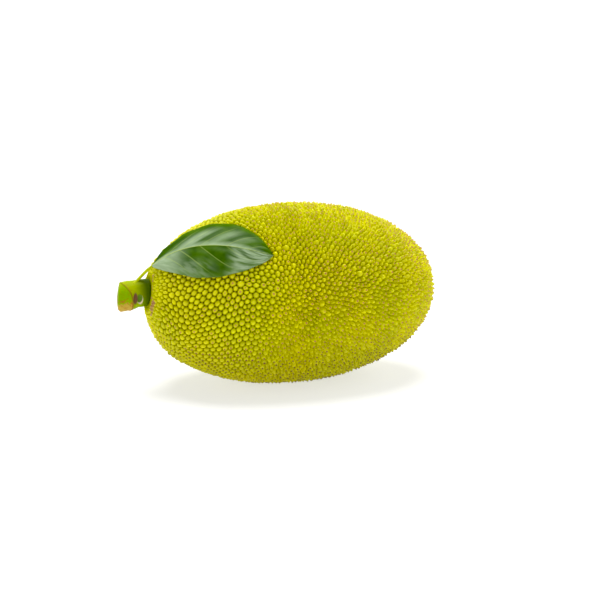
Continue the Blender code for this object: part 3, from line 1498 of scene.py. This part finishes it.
@dataclass
class Stem(Piece):
    """The thick cut stalk, which bends down and sideways and swells towards its cut end."""

    seat: StemSeat
    finish: StemFinish = field(default_factory=StemFinish)

    radius: float = 0.0134
    gap: float = 0.0003
    straight: float = 0.006
    arriving: float = 0.010
    end_shift: Vector = Vector((-0.0275, 0.0065, -0.0045))
    end_direction: Vector = Vector((-0.946, 0.275, -0.169))
    swelling: float = 0.09
    swelling_starts: float = 0.45
    swelling_share: float = 0.2
    rounded_share: float = 0.075
    rounding: float = 0.34
    end_crown: float = 0.0016
    cut_slant: float = math.tan(math.radians(11))
    slanted_zone: Zone = (0.55, 1.0)
    wood_zone: Zone = (0.80, 0.98)

    ring_nearest: float = 0.545
    ring_rise: float = 0.494
    ring_fall: float = 0.19
    ring_turn: float = math.radians(85)
    ring_back: Zone = (math.radians(120), math.radians(180))
    ring: Swell = Swell(0.00035, 0.0, 0.0007)
    ring_step: float = 0.8
    ring_step_zone: Zone = (0.0, 0.0014)
    bundle_scar: Oval = Oval(0.0133, math.radians(99), 0.0019, 0.0059, 0.00253)
    bundle_depth: float = 0.0004
    bundle_zone: Zone = (0.0, 0.5)
    leaf_hollow: Oval = Oval(0.0096, math.radians(104), 0.0027, 0.0052, 0.0010)
    hollow_lip: Oval = Oval(0.0100, math.radians(97), 0.0030, 0.0055, 0.0010)
    hollow_depth: float = 0.0013
    hollow_zone: Zone = (0.0, 0.8)
    bulge: Oval = Oval(0.0096, math.radians(140), 0.0060, 0.0070)
    bulge_height: float = 0.0012
    relief_zone: Zone = (0.5, 1.0)
    lump_size: float = 0.008
    lump_height: float = 0.00035
    lumpy_zone: Zone = (0.0, 0.15)

    sides: int = 128
    rings: int = 96
    end_rings: int = 10

    NAME = "stem_skin"
    NODE = "stem"
    SLOT = Slot.STEM
    SHEET = "stem_sheet"
    BEYOND_RING = "beyond_ring"
    CUT = "cut"
    CUT_FACE = 0.999

    @property
    def limb(self) -> Limb:
        """The stem's axis, straight out of the collar and bent towards the cut end.

        Returns:
            The limb.
        """
        start = self.seat.middle + self.seat.facing * self.gap
        end = self.seat.middle + self.end_shift
        arrival = self.end_direction.normalized()
        leaving = start + self.seat.facing * self.straight
        return Limb((start, leaving, end - arrival * self.arriving, end))

    def thickness(self, share: float) -> float:
        """The radius at a share of the length.

        Args:
            share: From 0 at the collar to 1 at the cut end.

        Returns:
            The radius in metres.
        """
        swollen = min(max((share - self.swelling_starts) / self.swelling_share, 0.0), 1.0)
        rounded = max(share - 1.0 + self.rounded_share, 0.0) / self.rounded_share
        scale = math.sqrt(1.0 - self.rounding * rounded**2)
        return self.radius * (1.0 + self.swelling * swollen) * scale

    def past_ring(self, share: float, turn: float, length: float) -> float:
        """How far past the slanting ring scar a place is, in metres towards the cut end.

        Args:
            share: From 0 at the collar to 1 at the cut end.
            turn: The turn round the stem.
            length: The stem's length.

        Returns:
            The distance, which is less than 0 before the ring.
        """
        from_turn = (turn - self.ring_turn + math.pi) % math.tau - math.pi
        over = smooth_step(*self.ring_back, from_turn)
        slope = self.ring_rise if from_turn < 0.0 else blend(self.ring_fall, self.ring_rise, over)
        return (share - self.ring_nearest - slope * (1.0 - math.cos(from_turn))) * length

    def relief(self, share: float, turn: float, length: float) -> float:
        """How far the skin is raised at a place.

        Args:
            share: From 0 at the collar to 1 at the cut end.
            turn: The turn round the stem.
            length: The stem's length.

        Returns:
            The height in metres, which is less than 0 in a scar.
        """
        along = share * length
        past = self.past_ring(share, turn, length)
        raised = self.ring.at(past)
        raised -= self.ring.height * self.ring_step * smooth_step(*self.ring_step_zone, past)
        hollow = self.leaf_hollow.depth(along, turn, self.radius)
        raised -= self.hollow_depth * smooth_step(*self.hollow_zone, hollow)
        bundle = self.bundle_scar.depth(along, turn, self.radius)
        raised -= self.bundle_depth * smooth_step(*self.bundle_zone, bundle)
        bulge = self.bulge.depth(along, turn, self.radius)
        return raised + self.bulge_height * smooth_step(0.0, 1.0, bulge)

    def model(self) -> Mesh:
        """Bends, swells and cuts a rod, and raises its scars.

        Returns:
            The mesh, with how far past the ring scar each point is, and where the cut wood shows.
        """
        limb = self.limb
        length = limb.length()
        end = limb.end()
        rod = new_rod(self.sides, self.rings, self.end_rings)
        unwrap_rod(rod, self.SHEET, self.radius, length)
        beyond = rod.verts.layers.float.new(self.BEYOND_RING)
        cut = rod.verts.layers.float.new(self.CUT)
        for corner, share, turn, level in rod_places(rod):
            outward = limb.outward(share, turn)
            middle = bezier(limb.axis, share)
            cut_back = -self.cut_slant * self.radius * math.cos(turn) * level
            middle += end * cut_back * smooth_step(*self.slanted_zone, share)
            corner[beyond] = self.past_ring(share, turn, length)
            radius = self.thickness(share) * level
            if share > self.CUT_FACE:
                corner[cut] = 1.0 - smooth_step(*self.wood_zone, level)
                middle += end * self.end_crown * (1.0 - level**2)
            raised = self.relief(share, turn, length) * smooth_step(*self.relief_zone, level)
            place = middle + outward * (radius + raised)
            lump = noise.noise(place / self.lump_size) * self.lump_height
            corner.co = place + outward * lump * smooth_step(*self.lumpy_zone, share) * level
        return rod

    def dress(self, groups: SharedGroups) -> bpy.types.Material:
        """Makes the stem's material."""
        return self.finish.material(groups, self)


# ---------------------------------------------------------------------------------------------
# The leaf
# ---------------------------------------------------------------------------------------------


@dataclass(frozen=True)
class StalkFinish:
    """The leaf stalk's skin: smooth yellow-green."""

    top: Color = (0.540, 0.600, 0.008)
    shade: Color = (0.380, 0.470, 0.006)
    shade_patches: Patches = (0.004, 0.35, 0.65)
    shade_share: float = 0.5
    grain: Grain = Grain(0.0005, 0.3, 0.00005, 0.35, 0.50)
    specular: float = 0.10

    def material(self, groups: SharedGroups) -> bpy.types.Material:
        """Builds the finish.

        Args:
            groups: The shared effects.

        Returns:
            The material.
        """
        skin = Skin("jackfruit_leaf_stalk", groups, self.top)
        skin.lay(self.shade, skin.mottle(*self.shade_patches), self.shade_share)
        height = skin.grained(self.grain)
        return skin.finish(
            height,
            self.grain.depth,
            Roughness=skin.spread(height, self.grain.smooth, self.grain.rough),
            Specular_IOR_Level=self.specular,
        )


@dataclass
class LeafStalk(Piece):
    """The thin stalk between the stem and the blade, with a flared foot and a shallow groove."""

    finish: StalkFinish = field(default_factory=StalkFinish)

    axis: Curve = (
        Vector((-0.1583, -0.0028, 0.1070)),
        Vector((-0.1540, -0.0010, 0.1125)),
        Vector((-0.1465, -0.0040, 0.1203)),
        Vector((-0.1422, -0.0078, 0.1251)),
    )
    radius: float = 0.00160
    foot_flare: float = 0.55
    foot_zone: Zone = (0.0, 0.22)
    narrowing: float = 0.32
    narrow_zone: Zone = (0.75, 1.0)
    groove: Swell = Swell(0.18, 0.0, 0.5)
    groove_zone: Zone = (0.1, 0.4)

    sides: int = 24
    rings: int = 60
    end_rings: int = 2

    NAME = "leaf_stalk_skin"
    NODE = "leaf_stalk"
    SLOT = Slot.LEAF_STALK

    def model(self) -> Mesh:
        """Bends and tapers a rod.

        Returns:
            The mesh.
        """
        limb = Limb(self.axis)
        rod = new_rod(self.sides, self.rings, self.end_rings)
        for corner, share, turn, level in rod_places(rod):
            flare = self.foot_flare * (1.0 - smooth_step(*self.foot_zone, share))
            grooved = self.groove.at(turn) * smooth_step(*self.groove_zone, share)
            narrowed = self.narrowing * smooth_step(*self.narrow_zone, share)
            radius = self.radius * (1.0 + flare - grooved - narrowed)
            corner.co = bezier(limb.axis, share) + limb.outward(share, turn) * radius * level
        return rod

    def dress(self, groups: SharedGroups) -> bpy.types.Material:
        """Makes the stalk's material."""
        return self.finish.material(groups)


class LeafHalf(Enum):
    """The two halves of the blade, by how their side veins run.

    The values are how steeply the veins leave the midrib at the base of the leaf, how much
    steeper those near the tip leave it, and how much each one curves forward.
    """

    UPPER = (0.24, 0.0, 0.03)
    LOWER = (0.05, 0.6, 0.12)


class BladeSkin(Skin):
    """The blade's skin in the making, with where on the leaf each point is.

    The share runs from 0 at the base to 1 at the tip, and the side from -1 at the lower edge to
    1 at the upper one. The root is where on the midrib the side vein through the point starts.
    """

    def __init__(self, groups: SharedGroups, color: Color) -> None:
        """Starts the material.

        Args:
            groups: The shared effects.
            color: The first coat.
        """
        super().__init__("jackfruit_leaf", groups, color)
        self.share, self.side, _ = self.axes(self.sheet(LeafBlade.SHEET))
        self.out = self.math("ABSOLUTE", self.side)
        self.above = self.math("GREATER_THAN", self.side, 0.0)
        steep, steeper, curl = (
            self.spread(self.above, low, high)
            for low, high in zip(LeafHalf.LOWER.value, LeafHalf.UPPER.value)
        )
        steep = self.math("ADD", steep, self.times(curl, self.out))
        forward = self.math("SUBTRACT", self.share, self.times(steep, self.out))
        slope = self.math("ADD", 1.0, self.times(steeper, self.out))
        self.root = self.math("DIVIDE", forward, slope)

    def bands(self, stops: Sequence[tuple[float, float]]) -> Socket:
        """A mask that runs along the side veins.

        Args:
            stops: Roots and the mask's values there, with straight runs between them.

        Returns:
            The mask.
        """
        ramp = self.add("ShaderNodeValToRGB", {"Fac": self.root})
        elements = ramp.color_ramp.elements
        elements[0].color = elements[1].color = (0.0, 0.0, 0.0, 1.0)
        for place, level in stops:
            elements.new(place).color = (level, level, level, 1.0)
        return ramp.outputs["Color"]


@dataclass(frozen=True)
class BladeFinish:
    """The blade's skin: deep glossy green with pale veins, painted sheen in pale grey-green streaks
    and bands, and a dull paler underside.

    A zone's numbers are where it begins and where it is full: from -1 at the lower edge to 1 at
    the upper one where the name says sides, on the midrib's own height for the rib, and
    otherwise from 0 at the base to 1 at the tip.
    """

    deep: Color = (0.028, 0.085, 0.0008)
    light: Color = (0.085, 0.185, 0.0030)
    vein: Color = (0.380, 0.500, 0.120)
    # Painted sheen: pale grey-green laid where the gloss would reflect the lamp.
    painted_sheen: Color = (0.330, 0.440, 0.260)
    underside: Color = (0.170, 0.260, 0.060)
    vein_width: float = 0.0042
    vein_furrow: float = 1.2
    vein_sides: Zone = (1.0, 0.55)
    vein_share: float = 0.7
    rib_zone: Zone = (0.15, 0.8)
    light_patches: Patches = (0.014, 0.36, 0.64)
    light_share: float = 0.45
    light_sides: Zone = (0.72, 1.0)
    light_sides_share: float = 0.6
    underside_share: float = 0.85
    underside_roughness: float = 0.3
    net_scale: float = 620.0
    net_width: float = 0.22
    grain: Grain = Grain(0.0006, 0.3, 0.000018, 0.24, 0.34)
    grain_share: float = 0.3
    upper_gloss: float = 0.06
    lower_gloss: float = 0.45
    gloss_roughness: float = 0.27

    streak_squeeze: float = 0.16
    base_zone: Zone = (0.31, 0.09)
    base_sheen: Pair = (0.70, 0.98)
    tip_zone: Zone = (0.53, 0.66)
    tip_sheen: Pair = (0.15, 0.95)
    edge_sides: Zone = (-0.30, -0.75)
    edge_zone: Zone = (0.55, 0.30)
    edge_sheen: Pair = (0.05, 0.55)
    by_rib_sides: Zone = (0.28, 0.02)
    by_rib_sheen: float = 0.92
    by_vein_sides: Zone = (0.90, 0.40)
    upper_zone: Zone = (1.05, 0.62)
    upper_sheen: Pair = (0.72, 1.0)
    # Where the painted sheen runs along the side veins: roots and levels.
    sheen_bands: tuple[tuple[float, float], ...] = (
        (0.02, 0.0),
        (0.07, 0.15),
        (0.13, 0.25),
        (0.19, 0.95),
        (0.25, 0.85),
        (0.29, 0.06),
        (0.34, 0.12),
        (0.38, 0.62),
        (0.43, 0.55),
        (0.49, 0.05),
        (0.54, 0.35),
        (0.58, 0.30),
        (0.64, 0.05),
        (0.72, 0.25),
        (0.78, 0.05),
    )

    def painted_sheen_mask(self, skin: BladeSkin) -> Socket:
        """The painted sheen, a pale grey-green laid where the gloss would reflect the lamp: over
        the base, along the ribs and in streaks at the tip.

        Args:
            skin: The blade's skin.

        Returns:
            A mask that is 1 where the painted sheen is brightest.
        """
        share, side = skin.share, skin.side
        squeezed = skin.times(side, self.streak_squeeze)
        run = skin.add("ShaderNodeCombineXYZ", {"X": skin.root, "Y": squeezed})
        look = {"Size": 0.050, "Detail": 3.5, "Low": 0.34, "High": 0.66}
        streaky = skin.group(skin.groups.mottle, Vector=run.outputs["Vector"], **look)

        base = skin.ease(share, *self.base_zone)
        base = skin.times(base, skin.spread(streaky, *self.base_sheen))
        tip = skin.ease(share, *self.tip_zone)
        tip = skin.times(tip, skin.spread(streaky, *self.tip_sheen))
        edge = skin.ease(side, *self.edge_sides)
        edge = skin.times(edge, skin.ease(share, *self.edge_zone))
        edge = skin.times(edge, skin.spread(streaky, *self.edge_sheen))
        lower = skin.most(base, tip, edge)

        by_rib = skin.times(skin.ease(side, *self.by_rib_sides), self.by_rib_sheen)
        by_vein = skin.bands(self.sheen_bands)
        by_vein = skin.times(by_vein, skin.ease(side, *self.by_vein_sides))
        upper = skin.most(by_rib, by_vein)
        upper = skin.times(upper, skin.ease(share, *self.upper_zone))
        upper = skin.times(upper, skin.spread(streaky, *self.upper_sheen))
        both = skin.add("ShaderNodeMix", {0: skin.above, 2: lower, 3: upper})
        return both.outputs["Result"]

    def material(self, groups: SharedGroups) -> bpy.types.Material:
        """Builds the finish.

        Args:
            groups: The shared effects.

        Returns:
            The material.
        """
        skin = BladeSkin(groups, self.deep)
        under = skin.attribute(LeafBlade.UNDERSIDE)
        stops = []
        for root in LeafBlade.VEIN_ROOTS:
            stops += [(root - self.vein_width, 0.0), (root, 1.0), (root + self.vein_width, 0.0)]
        veins = skin.times(skin.bands(stops), skin.ease(skin.out, *self.vein_sides))

        skin.lay(self.light, skin.mottle(*self.light_patches), self.light_share)
        skin.lay(self.light, skin.ease(skin.out, *self.light_sides), self.light_sides_share)
        # Painted sheen laid over the base, along the ribs and in streaks.
        skin.lay(self.painted_sheen, self.painted_sheen_mask(skin))
        skin.lay(self.vein, veins, self.vein_share)
        skin.lay(self.vein, skin.ease(skin.attribute(LeafBlade.RIB), *self.rib_zone))
        skin.lay(self.underside, under, self.underside_share)

        cells = {"Vector": skin.place, "Scale": self.net_scale}
        net = skin.add("ShaderNodeTexVoronoi", cells, feature="DISTANCE_TO_EDGE")
        grain = skin.grained(self.grain)
        height = skin.ease(net.outputs["Distance"], 0.0, self.net_width)
        height = skin.math("ADD", skin.times(grain, self.grain_share), height)
        height = skin.math("SUBTRACT", height, skin.times(veins, self.vein_furrow))
        smooth = skin.spread(grain, self.grain.smooth, self.grain.rough)
        return skin.finish(
            height,
            self.grain.depth,
            Roughness=skin.math("ADD", smooth, skin.times(under, self.underside_roughness)),
            Specular_IOR_Level=0.0,
            Coat_Weight=skin.spread(skin.above, self.lower_gloss, self.upper_gloss),
            Coat_Roughness=self.gloss_roughness,
        )


@dataclass
class LeafBlade(Piece):
    """The blade: it arches over the fruit's shoulder, and swells between its side veins."""

    form: FruitForm
    finish: BladeFinish = field(default_factory=BladeFinish)

    midrib: Curve = (
        Vector((-0.1420, -0.0080, 0.1255)),
        Vector((-0.1065, -0.0410, 0.1650)),
        Vector((-0.0570, -0.0710, 0.1455)),
        Vector((-0.0390, -0.0710, 0.1410)),
    )
    half_width: float = 0.0325
    base_half_width: float = 0.0012
    fullest: float = 0.763
    droop_radius: float = 0.110
    ridge: float = math.radians(5)
    wall: float = 0.0006
    first_share: float = 0.004
    last_share: float = 0.996
    rib_height: float = 0.0003
    rib_width: float = 0.00045
    rib_taper: float = 1.2
    swell: float = 0.0006
    swell_fullness: float = 0.8
    swell_past_veins: float = 0.5
    swell_starts: Zone = (0.02, 0.30)
    swell_ends: Zone = (0.75, 1.0)
    wave: float = 0.0005
    wave_length: float = 0.022
    wavy_zone: Zone = (0.5, 1.0)
    crowding: float = 1.6

    steps_along: int = 140
    steps_across: int = 56

    NAME = "leaf"
    NODE = "leaf_blade"
    SLOT = Slot.LEAF_BLADE
    VEIN_ROOTS = (0.090, 0.203, 0.343, 0.530, 0.705, 0.850)
    SHEET = "blade_sheet"
    RIB = "rib"
    UNDERSIDE = "underside"

    def half_width_at(self, share: float) -> float:
        """Half the blade's width at a share of its length."""
        width = self.half_width * math.sin(math.pi * share**self.fullest)
        return max(width, self.base_half_width * (1.0 - share))

    def swelling(self, share: float, side: float) -> float:
        """How far the blade swells between its veins: 0 on a vein, 1 midway.

        Args:
            share: From 0 at the base to 1 at the tip.
            side: From -1 at the lower edge to 1 at the upper one.

        Returns:
            The swelling, from 0 to 1.
        """
        half = LeafHalf.UPPER if side > 0.0 else LeafHalf.LOWER
        steep, steeper, curl = half.value
        out = abs(side)
        root = (share - (steep + curl * out) * out) / (1.0 + steeper * out)
        after = bisect_left(self.VEIN_ROOTS, root)
        if after == 0 or after == len(self.VEIN_ROOTS):
            return self.swell_past_veins
        before, beyond = self.VEIN_ROOTS[after - 1], self.VEIN_ROOTS[after]
        return math.sin(math.pi * (root - before) / (beyond - before)) ** self.swell_fullness

    def lift(self, share: float, side: float, along: float) -> float:
        """How far the blade is raised by its swelling and by the waves of its edge.

        Args:
            share: From 0 at the base to 1 at the tip.
            side: From -1 at the lower edge to 1 at the upper one.
            along: Where that is along X.

        Returns:
            The height in metres.
        """
        out = abs(side)
        swell = self.swell * self.swelling(share, side)
        swell *= smooth_step(*self.swell_starts, out) * (1.0 - smooth_step(*self.swell_ends, out))
        wave = self.wave * smooth_step(*self.wavy_zone, out)
        return swell + wave * math.sin(math.tau * along / self.wave_length + side)

    def place(self, share: float, side: float) -> tuple[Vector, Vector]:
        """A point of the blade.

        Args:
            share: From 0 at the base to 1 at the tip.
            side: From -1 at the lower edge to 1 at the upper one.

        Returns:
            The point and the upward direction at the midrib there.
        """
        middle = bezier(self.midrib, share)
        along = bezier_direction(self.midrib, share)
        up = self.form.normal(middle)
        up = (up - along * up.dot(along)).normalized()
        across = up.cross(along)
        reach = side * self.half_width_at(share)
        turn = reach / self.droop_radius
        drop = self.droop_radius * (1.0 - math.cos(turn)) + abs(reach) * math.tan(self.ridge)
        return middle + across * (self.droop_radius * math.sin(turn)) - up * drop, up

    def model(self) -> Mesh:
        """Shapes a sheet and gives it its thickness.

        Returns:
            The mesh, with where the midrib and the underside are.
        """
        blade = bmesh.new()
        cells = {"x_segments": self.steps_along, "y_segments": self.steps_across}
        bmesh.ops.create_grid(blade, **cells, size=0.5)
        rib = blade.verts.layers.float.new(self.RIB)
        under = blade.verts.layers.float.new(self.UNDERSIDE)
        sheet = blade.loops.layers.uv.new(self.SHEET)
        for corner in blade.verts:
            share = blend(self.first_share, self.last_share, corner.co.x + 0.5)
            side = math.copysign(abs(corner.co.y * 2.0) ** self.crowding, corner.co.y)
            for loop in corner.link_loops:
                loop[sheet].uv = (share, side)
            from_rib = abs(side) * self.half_width_at(share)
            corner[rib] = hump(0.0, self.rib_width * (self.rib_taper - share), from_rib)
            point, up = self.place(share, side)
            lift = self.lift(share, side, point.x)
            corner.co = point + up * (lift + self.rib_height * corner[rib])
        underside = bmesh.ops.solidify(blade, geom=blade.faces, thickness=self.wall)
        for part in underside["geom"]:
            if isinstance(part, Corner):
                part[under] = 1.0
        put_in_order(blade)
        return blade

    def dress(self, groups: SharedGroups) -> bpy.types.Material:
        """Makes the blade's material."""
        return self.finish.material(groups)


# ---------------------------------------------------------------------------------------------
# The stage, the lights and the camera
# ---------------------------------------------------------------------------------------------


@dataclass
class Stage:
    """A plain white floor, lit a little from below so that shadows on it stay pale."""

    size: float = 120.0
    color: Color = (0.48, 0.48, 0.48)
    glow: float = 0.61

    def build(self) -> None:
        """Lays the floor."""
        sheet = bmesh.new()
        bmesh.ops.create_grid(sheet, x_segments=1, y_segments=1, size=self.size / 2)
        material = bpy.data.materials.new("white_floor")
        material.use_nodes = True
        sockets = material.node_tree.nodes["Principled BSDF"].inputs
        sockets["Base Color"].default_value = (*self.color, 1.0)
        sockets["Emission Color"].default_value = (1.0, 1.0, 1.0, 1.0)
        sockets["Emission Strength"].default_value = self.glow
        sockets["Roughness"].default_value = 0.9
        sockets["Specular IOR Level"].default_value = 0.0
        add_object("floor", sheet, material)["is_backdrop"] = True


@dataclass(frozen=True)
class Softbox:
    """A lamp that is wide enough to give soft shadows."""

    name: str
    toward: Vector
    power: float
    spread: float

    def build(self) -> None:
        """Puts up the lamp."""
        light = bpy.data.lights.new(self.name, "SUN")
        light.energy = self.power
        light.angle = self.spread
        lamp = link_object(self.name, light)
        lamp.rotation_euler = self.toward.to_track_quat("-Z", "Y").to_euler()


@dataclass
class Studio:
    """White walls all round, a darker ceiling, and softboxes above and to the right."""

    walls: float = 1.47
    behind_camera: float = 0.55
    behind_from: float = 0.2
    behind_full: float = -0.6
    ceiling: float = 0.20
    wall_top: float = 0.34
    ceiling_edge: float = 0.62
    surround: float = 1.0
    black_level: float = 0.008
    softboxes: tuple[Softbox, ...] = (
        Softbox("softbox_above", Vector((-0.02, -0.26, -0.96)), 3.65, math.radians(40)),
        Softbox("softbox_right", Vector((-0.85, 0.00, -0.40)), 1.1, math.radians(60)),
    )

    def build(self) -> None:
        """Lights the scene."""
        scene = bpy.context.scene
        scene.view_settings.view_transform = "Standard"
        scene.view_settings.use_curve_mapping = True
        scene.view_settings.curve_mapping.black_level = (self.black_level,) * 3
        scene.view_settings.curve_mapping.update()
        scene.world = bpy.data.worlds.new("studio")
        scene.world.use_nodes = True
        nodes = scene.world.node_tree.nodes
        graph = Graph(scene.world.node_tree)
        _, forward, up = graph.axes(graph.add("ShaderNodeTexCoord").outputs["Generated"])
        overhead = graph.ease(up, self.wall_top, self.ceiling_edge)
        behind = graph.ease(forward, self.behind_from, self.behind_full)
        walls = graph.spread(behind, self.walls, self.walls * self.behind_camera)
        strength = graph.add("ShaderNodeMix", {0: overhead, 2: walls, 3: self.ceiling})
        fill = nodes["Background"]
        graph.feed(fill.inputs["Color"], (1.0, 1.0, 1.0))
        graph.feed(fill.inputs["Strength"], strength.outputs["Result"])
        seen = graph.add("ShaderNodeBackground", {"Color": (1, 1, 1), "Strength": self.surround})
        to_camera = graph.add("ShaderNodeLightPath").outputs["Is Camera Ray"]
        shaders = {0: to_camera, 1: fill.outputs["Background"], 2: seen.outputs["Background"]}
        both = graph.add("ShaderNodeMixShader", shaders)
        graph.feed(nodes["World Output"].inputs["Surface"], both.outputs["Shader"])
        for softbox in self.softboxes:
            softbox.build()


@dataclass
class Viewpoint:
    """The camera: how far round the fruit and above the floor it stands, and its framing."""

    form: FruitForm
    turn: float = math.radians(18.5)
    elevation: float = math.radians(13.0)
    distance: float = 1.42375
    lens: float = 85.0
    aim_right: float = 0.01055
    aim_down: float = 0.00784

    def build(self) -> None:
        """Puts up the camera."""
        level = math.cos(self.elevation)
        forward = Vector((math.sin(self.turn) * level, math.cos(self.turn) * level, 0.0))
        forward.z = -math.sin(self.elevation)
        right = Vector((math.cos(self.turn), -math.sin(self.turn), 0.0))
        aim = Vector((0.0, 0.0, self.form.axis_height))
        aim += right * self.aim_right + forward.cross(right) * self.aim_down
        lens = bpy.data.cameras.new("camera")
        lens.lens = self.lens
        camera = link_object("camera", lens)
        camera.location = aim - forward * self.distance
        camera.rotation_euler = forward.to_track_quat("-Z", "Y").to_euler()
        bpy.context.scene.camera = camera


def write_sizes() -> None:
    """Works out the CAD model's box and the visual model's, each as its two corners, but does not
    write them out.
    """
    boxes = {"cad": cad_bounds, "visual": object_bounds()}
    sizes = {name: [list(corner) for corner in box] for name, box in boxes.items()}


def main() -> None:
    """Builds the jackfruit, the stage, the lights and the camera."""
    logging.basicConfig(level=logging.INFO, format="%(name)s: %(message)s")
    form = FruitForm.from_frame()
    seat = StemSeat(form)
    groups = SharedGroups.build()
    for part in (Rind(form, seat), Stem(seat), LeafStalk(), LeafBlade(form)):
        piece = part.build(groups)
        triangles = sum(len(face.vertices) - 2 for face in piece.data.polygons)
        log.info("%s: %d triangles", piece.name, triangles)
    Stage().build()
    Studio().build()
    Viewpoint(form).build()
    write_sizes()


if __name__ == "__main__":
    main()
